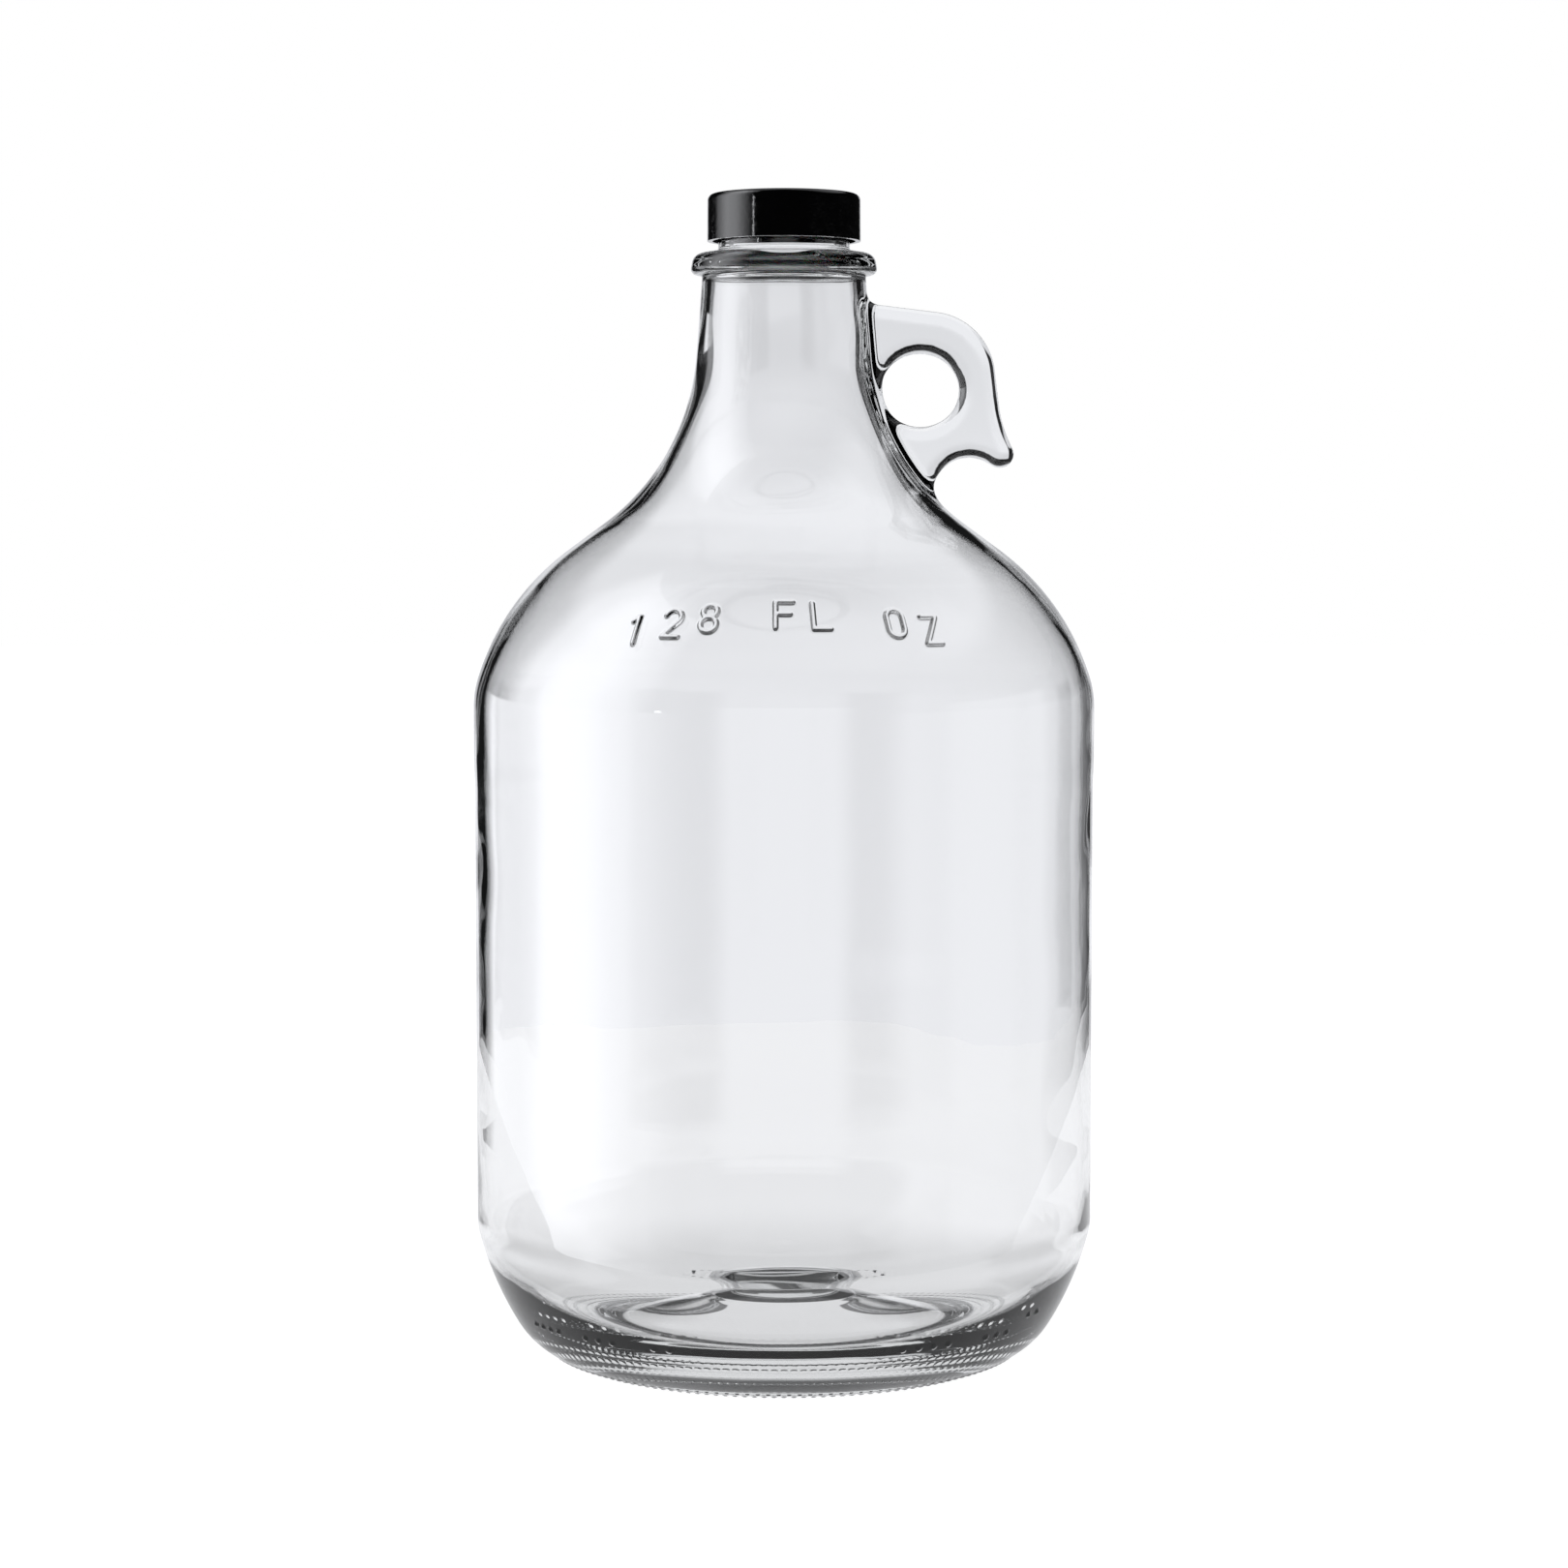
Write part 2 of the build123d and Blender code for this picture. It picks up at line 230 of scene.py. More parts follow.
class Shell:
    """Vertices and faces of one closed skin, built ring by ring around the axis."""

    def __init__(self):
        self.vertices = []
        self.faces = []
        self.count = 0

    def add(self, points):
        """Add points and return their numbers."""
        points = np.atleast_2d(points)
        self.vertices.append(points)
        numbers = np.arange(self.count, self.count + len(points))
        self.count += len(points)
        return numbers

    def ring(self, angles, radius, height):
        radius = np.broadcast_to(radius, angles.shape)
        height = np.broadcast_to(height, angles.shape)
        across = radius * np.cos(angles)
        return self.add(np.column_stack([across, radius * np.sin(angles), height]))

    def bridge(self, lower, upper, lower_angles=None, upper_angles=None):
        """Join two closed rings, with quads if they match and triangles if they don't."""
        if len(lower) == len(upper):
            corners = [lower, np.roll(lower, -1), np.roll(upper, -1), upper]
            self.faces += np.column_stack(corners).tolist()
            return
        i = j = 0
        low = np.append(lower_angles, lower_angles[0] + 2 * pi)
        top = np.append(upper_angles, upper_angles[0] + 2 * pi)
        while i < len(lower) or j < len(upper):
            here = int(lower[i % len(lower)])
            above = int(upper[j % len(upper)])
            if j >= len(upper) or (i < len(lower) and low[i + 1] <= top[j + 1]):
                i += 1
                self.faces.append([here, int(lower[i % len(lower)]), above])
            else:
                j += 1
                self.faces.append([here, int(upper[j % len(upper)]), above])

    def pole(self, ring, height, faces_down):
        centre = int(self.add([(0, 0, height)])[0])
        for a, b in zip(ring, np.roll(ring, -1)):
            pair = [int(b), int(a)] if faces_down else [int(a), int(b)]
            self.faces.append(pair + [centre])

    def mesh(self, name):
        mesh = bpy.data.meshes.new(name)
        points = np.vstack(self.vertices) * MM
        mesh.from_pydata(points.tolist(), [], self.faces)
        mesh.validate()
        skin = bmesh.new()
        skin.from_mesh(mesh)
        bmesh.ops.recalc_face_normals(skin, faces=skin.faces)
        skin.to_mesh(mesh)
        skin.free()
        mesh.polygons.foreach_set("use_smooth", [True] * len(mesh.polygons))
        mesh.update()
        return mesh


def even_angles(count):
    return -pi + 2 * pi * (np.arange(count) + 0.5) / count


def dense_angles(centre, half_width, fine, coarse):
    """Angles from -pi to pi, fine within a window and coarse outside it, in degrees."""
    window = np.arange(centre - half_width, centre + half_width + 1e-6, fine)
    rest = 360 - 2 * half_width
    steps = int(rest / coarse)
    outside = centre + half_width + rest * np.arange(1, steps) / steps
    angles = np.radians(np.concatenate([window, outside]))
    return np.sort((angles + pi) % (2 * pi) - pi)


# ---- raised letters as strokes: lines and arcs in a small frame of their own ----
W = MARK_W
H = MARK_H
FLAG_OF_ONE = (-1.5, H - 1.4)
NECK_OF_TWO = (1.6, 0.35)
BAR_HEIGHT = 0.2
BAR_END = W - 0.6
UPPER_LOOP = 1.8
LOWER_LOOP = 2.05
ARC_STEPS = 24
MARK_LINES = {
    "1": [[FLAG_OF_ONE, (0, H), (0, -H)]],
    "2": [[NECK_OF_TWO, (-W, -H), (W, -H)]],
    "8": [],
    "F": [[(W, H), (-W, H), (-W, -H)], [(-W, BAR_HEIGHT), (BAR_END, BAR_HEIGHT)]],
    "L": [[(-W, H), (-W, -H), (W, -H)]],
    "O": [[(-W, H - W), (-W, W - H)], [(W, H - W), (W, W - H)]],
    "Z": [[(-W, H), (W, H), (-W, -H), (W, -H)]],
}
MARK_ARCS = {
    "2": [((0, H - W), W, 165, -205)],
    "8": [((0, H - UPPER_LOOP), UPPER_LOOP, 0, 360),
          ((0, LOWER_LOOP - H), LOWER_LOOP, 0, 360)],
    "O": [((0, H - W), W, 0, 180), ((0, W - H), W, 180, 180)],
}


def segment_distance(x, y, first, last):
    """Distance from points to a straight stroke."""
    ax, ay = first
    bx, by = last
    length = (bx - ax) ** 2 + (by - ay) ** 2
    t = np.clip(((x - ax) * (bx - ax) + (y - ay) * (by - ay)) / length, 0, 1)
    return np.hypot(x - ax - t * (bx - ax), y - ay - t * (by - ay))


def letter_distance(letter, x, y):
    """Distance from points to the middle line of a letter's nearest stroke."""
    nearest = np.full(x.shape, 99.0)
    for points in MARK_LINES[letter]:
        for first, last in zip(points, points[1:]):
            nearest = np.minimum(nearest, segment_distance(x, y, first, last))
    for centre, radius, start, swept in MARK_ARCS.get(letter, []):
        turns = np.radians(start + swept * np.arange(ARC_STEPS + 1) / ARC_STEPS)
        knots = [(centre[0] + radius * cos(t), centre[1] + radius * sin(t)) for t in turns]
        for first, last in zip(knots, knots[1:]):
            nearest = np.minimum(nearest, segment_distance(x, y, first, last))
    return nearest


def mark_height(angles, radius, along, along_at_height):
    """How far the letters raise the glass, on a grid of angle and distance up the slope."""
    raised = np.zeros((len(along), len(angles)))
    middle = (len(MARK_TEXT) - 1) / 2
    for place, letter in enumerate(MARK_TEXT):
        if letter == " ":
            continue
        azimuth = radians((place - middle) * MARK_PITCH - 90)
        height = MARK_MIDDLE - MARK_DROP * ((place - middle) / middle) ** 2
        x = radius[:, None] * (angles - azimuth)[None, :]
        y = np.repeat((along - along_at_height(height))[:, None], len(angles), axis=1)
        near = (np.abs(x) < 5) & (np.abs(y) < 6)
        away = letter_distance(letter, x[near], y[near])
        half = MARK_STROKE / 2
        lift = MARK_RELIEF * smoothstep(half + 0.2, half - 0.4, away)
        raised[near] = np.maximum(raised[near], lift)
    return raised


# ---- handle outline in the XZ plane ----
crown_heading = degrees(atan2(CROWN_END[1] - CROWN_START[1], CROWN_END[0] - CROWN_START[0]))
handle_line = walk(CROWN_END, crown_heading, HANDLE, 0.5)
handle_loop = np.vstack([[CROWN_START], handle_line,
                         [(handle_line[-1][0], HANDLE_LOW), (0, HANDLE_LOW)]])


def loop_distance(x, z):
    """Signed distance to the handle outline, negative inside, with the finger hole cut out."""
    nearest = np.full(x.shape, 1e9)
    inside = np.zeros(x.shape, bool)
    for (ax, az), (bx, bz) in zip(handle_loop, np.roll(handle_loop, -1, axis=0)):
        nearest = np.minimum(nearest, segment_distance(x, z, (ax, az), (bx, bz)))
        crosses = (az > z) != (bz > z)
        with np.errstate(divide="ignore", invalid="ignore"):
            meets = ax + (z - az) * (bx - ax) / (bz - az)
        inside ^= crosses & (x < meets)
    outline = np.where(inside, -nearest, nearest)
    u = (x - FINGER_CENTRE[0]) / FINGER_HALF[0]
    v = (z - FINGER_CENTRE[1]) / FINGER_HALF[1]
    reach = np.hypot(u, v)
    slope = np.hypot(u / FINGER_HALF[0], v / FINGER_HALF[1]) + 1e-9
    hole = reach * (reach - 1) / slope
    return np.maximum(outline, -hole)


# the outline distance is sampled once on a fine grid and read back between its points
TABLE_STEP = 0.25
table_x = np.arange(NET_START, 68, TABLE_STEP)
table_z = np.arange(NET_BOTTOM - 6, NET_TOP + 6, TABLE_STEP)
table = loop_distance(*np.meshgrid(table_x, table_z, indexing="ij"))


def table_distance(x, z):
    u = np.clip((x - table_x[0]) / TABLE_STEP, 0, len(table_x) - 1.001)
    v = np.clip((z - table_z[0]) / TABLE_STEP, 0, len(table_z) - 1.001)
    i = u.astype(int)
    j = v.astype(int)
    fu = u - i
    fv = v - j
    return ((table[i, j] * (1 - fu) + table[i + 1, j] * fu) * (1 - fv)
            + (table[i, j + 1] * (1 - fu) + table[i + 1, j + 1] * fu) * fv)


def neck_radius(height):
    return np.interp(height, side_line[:, 1], side_line[:, 0])


def handle_field(x, y, z):
    """Smooth joining of neck and handle: negative inside the glass."""
    slope = neck_radius(z + 0.5) - neck_radius(z - 0.5)
    body = (np.hypot(x, y) - neck_radius(z)) / np.sqrt(1 + slope ** 2)
    edge = table_distance(x, z) + HANDLE_ROUND
    face = np.abs(y) - HANDLE_THICKNESS / 2 + HANDLE_ROUND
    plate = (np.hypot(np.maximum(edge, 0), np.maximum(face, 0))
             + np.minimum(np.maximum(edge, face), 0) - HANDLE_ROUND)
    plate = np.where(x < NET_START, FAR_AWAY, plate)
    blend = np.maximum(HANDLE_BLEND - np.abs(body - plate), 0) / HANDLE_BLEND
    return np.minimum(body, plate) - blend ** 2 * HANDLE_BLEND / 4


def handle_net(shell, angles, heights, offsets):
    """Skin the neck and handle with a surface net whose grid follows the neck.

    Returns the numbers of the lowest and highest rings of the net, and their angles.
    """
    wrapped = np.append(angles, angles[0] + 2 * pi)
    rho = neck_radius(heights)[None, None, :] + offsets[None, :, None]
    theta = angles[:, None, None] + 0 * rho
    height = heights[None, None, :] + 0 * rho + 0 * theta
    rho = rho + 0 * theta
    grid = np.stack([rho * np.cos(theta), rho * np.sin(theta), height])
    field = handle_field(*grid)
    inside = field < 0

    # a vertex in each cell that the surface passes through, at the mean of its edge crossings
    def corner(array, di, dj, dk):
        moved = np.roll(array, -di, axis=-3)
        nj = moved.shape[-2] - 1
        nk = moved.shape[-1] - 1
        return moved[..., dj:dj + nj, dk:dk + nk]

    corners = [(di, dj, dk) for di in (0, 1) for dj in (0, 1) for dk in (0, 1)]
    total = 0
    weight = 0
    for a in corners:
        for axis in range(3):
            if a[axis] == 1:
                continue
            b = tuple(1 if n == axis else a[n] for n in range(3))
            fa = corner(field, *a)
            fb = corner(field, *b)
            crossed = (fa < 0) != (fb < 0)
            t = np.where(crossed, fa / np.where(crossed, fa - fb, 1), 0)
            pa = corner(grid, *a)
            pb = corner(grid, *b)
            total = total + np.where(crossed, pa + (pb - pa) * t, 0)
            weight = weight + crossed
    active = weight > 0
    points = (total[:, active] / weight[active]).T

    # settle every vertex on the surface itself
    for _ in range(4):
        x, y, z = points.T
        value = handle_field(x, y, z)
        step = 0.05
        slope = np.stack([handle_field(x + step, y, z) - handle_field(x - step, y, z),
                          handle_field(x, y + step, z) - handle_field(x, y - step, z),
                          handle_field(x, y, z + step) - handle_field(x, y, z - step)]) / (2 * step)
        size = np.maximum((slope ** 2).sum(axis=0), 0.2)
        move = np.clip(value / size, -0.6, 0.6) * slope
        points = points - move.T
    numbers = np.full(active.shape, -1)
    numbers[active] = shell.add(points)

    # a quad around each grid edge that the surface crosses
    nj = inside.shape[1] - 1
    nk = inside.shape[2] - 1
    back = np.roll(numbers, 1, axis=0)
    crossing = inside[:, 1:-1, 1:-1] != np.roll(inside, -1, axis=0)[:, 1:-1, 1:-1]
    quads = [np.stack([numbers[:, :-1, :-1], numbers[:, 1:, :-1], numbers[:, 1:, 1:],
                       numbers[:, :-1, 1:]], axis=-1)[crossing]]
    crossing = inside[:, :nj, 1:-1] != inside[:, 1:, 1:-1]
    quads.append(np.stack([back[:, :, :-1], numbers[:, :, :-1], numbers[:, :, 1:],
                           back[:, :, 1:]], axis=-1)[crossing])
    crossing = inside[:, 1:-1, :nk] != inside[:, 1:-1, 1:]
    quads.append(np.stack([back[:, :-1, :], numbers[:, :-1, :], numbers[:, 1:, :],
                           back[:, 1:, :]], axis=-1)[crossing])
    quads = np.vstack(quads)
    shell.faces += quads[(quads >= 0).all(axis=1)].tolist()
    rows = []
    for k in (0, nk - 1):
        layer = numbers[:, :, k]
        rows.append(np.array([row[row >= 0][0] for row in layer]))
    middles = (wrapped[:-1] + wrapped[1:]) / 2
    return rows[0], rows[1], middles


def ripple(angles, height, seed, strength):
    """Slow unevenness of the inside surface, as blown glass has."""
    random = np.random.default_rng(seed)
    total = np.zeros(np.broadcast(angles, height).shape)
    for _ in range(14):
        around = random.integers(1, 6)
        rise = random.uniform(-0.035, 0.035)
        phase = random.uniform(0, 2 * pi)
        total = total + np.sin(around * angles + rise * height * 2 * pi + phase) / around
    return total * strength / 3


# ---- build the glass skin ----
shell = Shell()

# underside: hub, punt, stippled ring and heel
under = [(1.5, HUB_HEIGHT)]
under += [(r, HUB_HEIGHT) for r in np.arange(4, HUB_RADIUS - 0.5, 2.5)]
under += [(HUB_RADIUS - 0.2, HUB_HEIGHT), (HUB_RADIUS + 0.1, HUB_HEIGHT - 0.15),
          (PUNT_EDGE - 0.1, PUNT_HEIGHT + 0.12), (PUNT_EDGE + 0.3, PUNT_HEIGHT - 0.02)]
punt = [(PUNT_EDGE, PUNT_HEIGHT)] + three_point_arc((PUNT_EDGE, PUNT_HEIGHT), PUNT_MIDDLE,
                                                    (BEARING_INNER, 0), 0.25)
bearing = [(r, 0.0) for r in np.arange(BEARING_INNER + 0.5, BEARING_OUTER - 0.1, 0.5)]
punt = np.array(punt + bearing)
base_line = np.vstack([punt, heel_line])

plain = even_angles(120)
previous = None
for radius, height in under:
    ring = shell.ring(plain, radius, height)
    if previous is None:
        shell.pole(ring, HUB_HEIGHT, True)
    else:
        shell.bridge(previous, ring)
    previous = ring
inner_part = resample(base_line[(base_line[:, 0] > PUNT_EDGE + 1) & (base_line[:, 0] < 46)
                                & (base_line[:, 1] < PUNT_HEIGHT + 1)], 2.0)
for radius, height in inner_part:
    ring = shell.ring(plain, radius, height)
    shell.bridge(previous, ring)
    previous = ring

stipple_angles = even_angles(STIPPLE_COUNT * 4)
band = resample(base_line[(base_line[:, 0] > 46.5) & (base_line[:, 0] < 65.5)
                          & (base_line[:, 1] < 8)], 0.42)
tangent = np.gradient(band, axis=0)
tangent /= np.hypot(*tangent.T)[:, None]
last_angles = plain
for (radius, height), (dr, dz) in zip(band, tangent):
    bump = np.zeros(len(stipple_angles))
    for place, ring_radius in enumerate(STIPPLE_RINGS):
        across = np.clip(1 - ((radius - ring_radius) / STIPPLE_HALF_WIDTH) ** 2, 0, 1)
        around = 0.5 + 0.5 * np.cos(STIPPLE_COUNT * stipple_angles + place * pi)
        bump += STIPPLE_RELIEF * across * around ** 1.5
    depth = np.minimum(bump, height) if radius > BEARING_OUTER + 2 else -bump
    ring = shell.ring(stipple_angles, radius + dz * depth, np.maximum(height - dr * depth, 0))
    shell.bridge(previous, ring, last_angles, stipple_angles)
    previous = ring
    last_angles = stipple_angles


def plain_band(previous, last_angles, low, high, spacing, angles):
    """Smooth rings between two heights on the outside."""
    for radius, height in resample(between(side_line, low, high), spacing):
        ring = shell.ring(angles, radius, height)
        shell.bridge(previous, ring, last_angles, angles)
        previous = ring
        last_angles = angles
    return previous, last_angles


around = even_angles(144)
heel_low = float(band[-1][1])
previous, last_angles = plain_band(previous, last_angles, heel_low + 0.8, DOT_HEIGHT - 2.6, 1.3,
                                   around)

# heel dots
dot_angles = dense_angles(-90, 66, 0.32, 2.5)
dot_rows = resample(between(side_line, DOT_HEIGHT - 2.0, DOT_HEIGHT + 4.6), 0.38)
dot_slope = np.gradient(dot_rows, axis=0)
dot_slope /= np.hypot(*dot_slope.T)[:, None]
for (radius, height), (dr, dz) in zip(dot_rows, dot_slope):
    lift = np.zeros(len(dot_angles))
    for first, step, count in DOT_GROUPS:
        for index in range(count):
            azimuth = radians(first + step * index - 90)
            level = DOT_HEIGHT + (DOT_RISE if first > DOT_RISE_FROM else 0)
            away = np.hypot(radius * (dot_angles - azimuth), (height - level) / dz)
            dome = np.sqrt(np.clip(1 - (away / DOT_RADIUS) ** 2, 0, 1))
            lift = np.maximum(lift, DOT_RELIEF * dome)
    ring = shell.ring(dot_angles, radius + dz * lift, height - dr * lift)
    shell.bridge(previous, ring, last_angles, dot_angles)
    previous = ring
    last_angles = dot_angles

side = even_angles(168)
previous, last_angles = plain_band(previous, last_angles, DOT_HEIGHT + 5.4, 40, 1.4, side)
previous, last_angles = plain_band(previous, last_angles, 44, PANEL_TOP - 2, 6.0, side)
previous, last_angles = plain_band(previous, last_angles, PANEL_TOP, 186.0, 1.6, side)

# raised mark on the shoulder
mark_angles = dense_angles(-90, 33, 0.22, 2.5)
mark_rows = resample(between(side_line, MARK_LOW, MARK_HIGH), 0.3)
mark_slope = np.gradient(mark_rows, axis=0)
mark_slope /= np.hypot(*mark_slope.T)[:, None]
mark_along = np.concatenate([[0], np.cumsum(np.hypot(*np.diff(mark_rows, axis=0).T))])
lift = mark_height(mark_angles, mark_rows[:, 0], mark_along,
                   lambda height: np.interp(height, mark_rows[:, 1], mark_along))
for (radius, height), (dr, dz), raised in zip(mark_rows, mark_slope, lift):
    ring = shell.ring(mark_angles, radius + dz * raised, height - dr * raised)
    shell.bridge(previous, ring, last_angles, mark_angles)
    previous = ring
    last_angles = mark_angles

# neck with the handle
net_angles = dense_angles(0, 24, 0.85, 2.5)
net_offsets = np.arange(-1.35, 37, 0.9)
net_heights = np.arange(NET_BOTTOM, NET_TOP, 0.9)
previous, last_angles = plain_band(previous, last_angles, 207.6, NET_BOTTOM - 1.2, 1.5, side)
net_low, net_high, net_middles = handle_net(shell, net_angles, net_heights, net_offsets)
shell.bridge(previous, net_low, last_angles, net_middles)
previous = net_high
last_angles = net_middles

# neck above the handle, transfer bead and foot of the land
neck_angles = even_angles(132)
top_of_net = float(net_heights[-1])
bead = [neck_end]
bead += three_point_arc(neck_end, *BEAD_BOTTOM, 0.3)
bead += three_point_arc(BEAD_BOTTOM[-1], *BEAD_SIDE, 0.3)
bead += BEAD_FACE
bead += three_point_arc(BEAD_FACE[-1], *BEAD_CROWN, 0.35)
bead += BEAD_SLOPE
bead += three_point_arc(BEAD_SLOPE[-1], LAND_FOOT, (LAND_RADIUS, LAND_BOTTOM), 0.3)
neck_part = between(side_line, top_of_net + 0.9, neck_end[1])
for radius, height in np.vstack([resample(neck_part, 0.9)[:-1], bead]):
    ring = shell.ring(neck_angles, radius, height)
    shell.bridge(previous, ring, last_angles, neck_angles)
    previous = ring
    last_angles = neck_angles

# threaded land
thread_angles = even_angles(240)
azimuth = thread_angles % (2 * pi)
for height in np.arange(LAND_BOTTOM + 0.3, LIP_HEIGHT - 0.99, 0.24):
    ridge = np.zeros(len(thread_angles))
    for lap in range(2):
        turn = azimuth / (2 * pi) + lap
        centre = THREAD_LOW + THREAD_LEAD * turn
        fade = (smoothstep(0, THREAD_FADE, turn)
                * smoothstep(THREAD_TURNS, THREAD_TURNS - THREAD_FADE, turn))
        shape = smoothstep(THREAD_HALF_WIDTH + 0.15, THREAD_HALF_WIDTH - 0.6,
                           np.abs(height - centre))
        ridge = np.maximum(ridge, THREAD_DEPTH * shape * fade)
    ring = shell.ring(thread_angles, LAND_RADIUS + ridge, height)
    shell.bridge(previous, ring, last_angles, thread_angles)
    previous = ring
    last_angles = thread_angles

# lip, bore and the inside down to the floor
round_middle = LIP_ROUND * (1 - sqrt(0.5))
mouth_radius = BORE_RADIUS + LIP_ROUND
lip = [(LAND_RADIUS, LIP_HEIGHT - LIP_ROUND)]
lip += three_point_arc(lip[0], (LAND_RADIUS - round_middle, LIP_HEIGHT - round_middle),
                       (LAND_RADIUS - LIP_ROUND, LIP_HEIGHT), 0.25)
lip += [(mouth_radius + 0.4, LIP_HEIGHT), (mouth_radius, LIP_HEIGHT)]
lip += three_point_arc(lip[-1], (BORE_RADIUS + round_middle, LIP_HEIGHT - round_middle),
                       (BORE_RADIUS, LIP_HEIGHT - LIP_ROUND), 0.25)
lip += [(BORE_RADIUS, z) for z in np.arange(LIP_HEIGHT - 2, BORE_BOTTOM, -1.0)]
inner_steps = [(step[0], step[1] - (WALL if step[2] > 0 else -WALL), step[2])
               if step[0] == "arc" else step for step in SHOULDER]
inner_shoulder = walk((BODY_RADIUS - WALL, SHOULDER_START), 90, inner_steps, 1.2)


def ease(start, start_way, end, end_way, count):
    """Points of a smooth curve between two places, the first left out; each way is a tangent."""
    t = np.linspace(0, 1, count)[1:, None]
    return ((1 + 2 * t) * (1 - t) ** 2 * np.array(start) + t * (1 - t) ** 2 * np.array(start_way)
            + t ** 2 * (3 - 2 * t) * np.array(end) + t ** 2 * (t - 1) * np.array(end_way))


mouth_way = inner_shoulder[-1] - inner_shoulder[-2]
mouth_way = mouth_way / np.hypot(*mouth_way) * 8
throat = ease(inner_shoulder[-1], mouth_way, (BORE_RADIUS, BORE_BOTTOM), (0, 8), 14)
room_radius = PANEL_RADIUS - WALL
heel_foot = (room_radius - HEEL_INSIDE_RADIUS, HEEL_INSIDE_TOP - HEEL_INSIDE_RADIUS)
floor_line = ease((0, FLOOR_HEIGHT), (FLOOR_FLATNESS, 0), heel_foot, (FOOT_FLATNESS, 0), 30)
heel_inside = walk(heel_foot, 0, [("arc", HEEL_INSIDE_RADIUS, 90)], 1.4)[1:]
wall_line = np.array([(room_radius, z) for z in np.arange(HEEL_INSIDE_TOP + 3, PANEL_TOP, 3.0)])
inside_up = np.vstack([floor_line, heel_inside, wall_line, inner_shoulder, throat])
inside_way = np.gradient(inside_up, axis=0)
inside_way /= np.hypot(*inside_way.T)[:, None]

inner_angles = even_angles(144)
for radius, height in lip:
    ring = shell.ring(thread_angles, radius, height)
    shell.bridge(previous, ring, last_angles, thread_angles)
    previous = ring
    last_angles = thread_angles
for (radius, height), (dr, dz) in zip(inside_up[::-1], inside_way[::-1]):
    swell = 0.30 * smoothstep(292, 270, height) * smoothstep(3, 20, radius)
    off = ripple(inner_angles, height, 7, swell)
    ring = shell.ring(inner_angles, radius + dz * off, height - dr * off)
    shell.bridge(previous, ring, last_angles, inner_angles)
    previous = ring
    last_angles = inner_angles
shell.pole(previous, FLOOR_HEIGHT, False)

glass = bpy.data.objects.new("moulded_glass", shell.mesh("moulded_glass"))
bpy.context.scene.collection.objects.link(glass)


# ---- node helpers ----
class Nodes:
    """Short names for making and joining shader nodes."""

    def __init__(self, tree):
        self.tree = tree
        self.tree.nodes.clear()

    def new(self, kind, **settings):
        node = self.tree.nodes.new(kind)
        for name, value in settings.items():
            setattr(node, name, value)
        return node

    def join(self, source, target):
        self.tree.links.new(source, target)

    def math(self, operation, first, second=0.0):
        node = self.new("ShaderNodeMath", operation=operation)
        for socket, value in zip(node.inputs, (first, second)):
            if isinstance(value, (int, float)):
                socket.default_value = value
            else:
                self.join(value, socket)
        return node.outputs[0]

    def length(self, first, second):
        """Length of the flat arrow with these two parts."""
        return self.math("SQRT", self.math("ADD", self.math("MULTIPLY", first, first),
                                           self.math("MULTIPLY", second, second)))

    def soft_range(self, value, low, high, out_low=0.0, out_high=1.0):
        node = self.new("ShaderNodeMapRange", interpolation_type="SMOOTHSTEP")
        self.join(value, node.inputs["Value"])
        node.inputs["From Min"].default_value = low
        node.inputs["From Max"].default_value = high
        node.inputs["To Min"].default_value = out_low
        node.inputs["To Max"].default_value = out_high
        return node.outputs["Result"]

    def noise(self, scale, detail=3.0, source=None):
        node = self.new("ShaderNodeTexNoise")
        node.inputs["Scale"].default_value = scale
        node.inputs["Detail"].default_value = detail
        if source is not None:
            self.join(source, node.inputs["Vector"])
        return node.outputs["Fac"]


def new_material(name):
    material = bpy.data.materials.new(name)
    material.use_nodes = True
    return material, Nodes(material.node_tree)


def glass_material():
    """Clear flint glass: faint tint in the thick parts and the slow ripple of moulded glass."""
    material, n = new_material("clear_flint_glass")
    shader = n.new("ShaderNodeBsdfPrincipled")
    shader.inputs["Base Color"].default_value = (1.0, 1.0, 1.0, 1)
    shader.inputs["Roughness"].default_value = 0.0
    shader.inputs["IOR"].default_value = 1.52
    shader.inputs["Transmission Weight"].default_value = 1.0
    place = n.new("ShaderNodeTexCoord").outputs["Object"]
    bump = n.new("ShaderNodeBump")
    bump.inputs["Strength"].default_value = 0.35
    bump.inputs["Distance"].default_value = 0.0003
    n.join(n.noise(38.0, 1.5, place), bump.inputs["Height"])
    n.join(bump.outputs["Normal"], shader.inputs["Normal"])
    body = n.new("ShaderNodeVolumeAbsorption")
    body.inputs["Color"].default_value = (0.78, 0.88, 0.83, 1)
    body.inputs["Density"].default_value = 3.0
    out = n.new("ShaderNodeOutputMaterial")
    n.join(shader.outputs["BSDF"], out.inputs["Surface"])
    n.join(body.outputs["Volume"], out.inputs["Volume"])
    return material


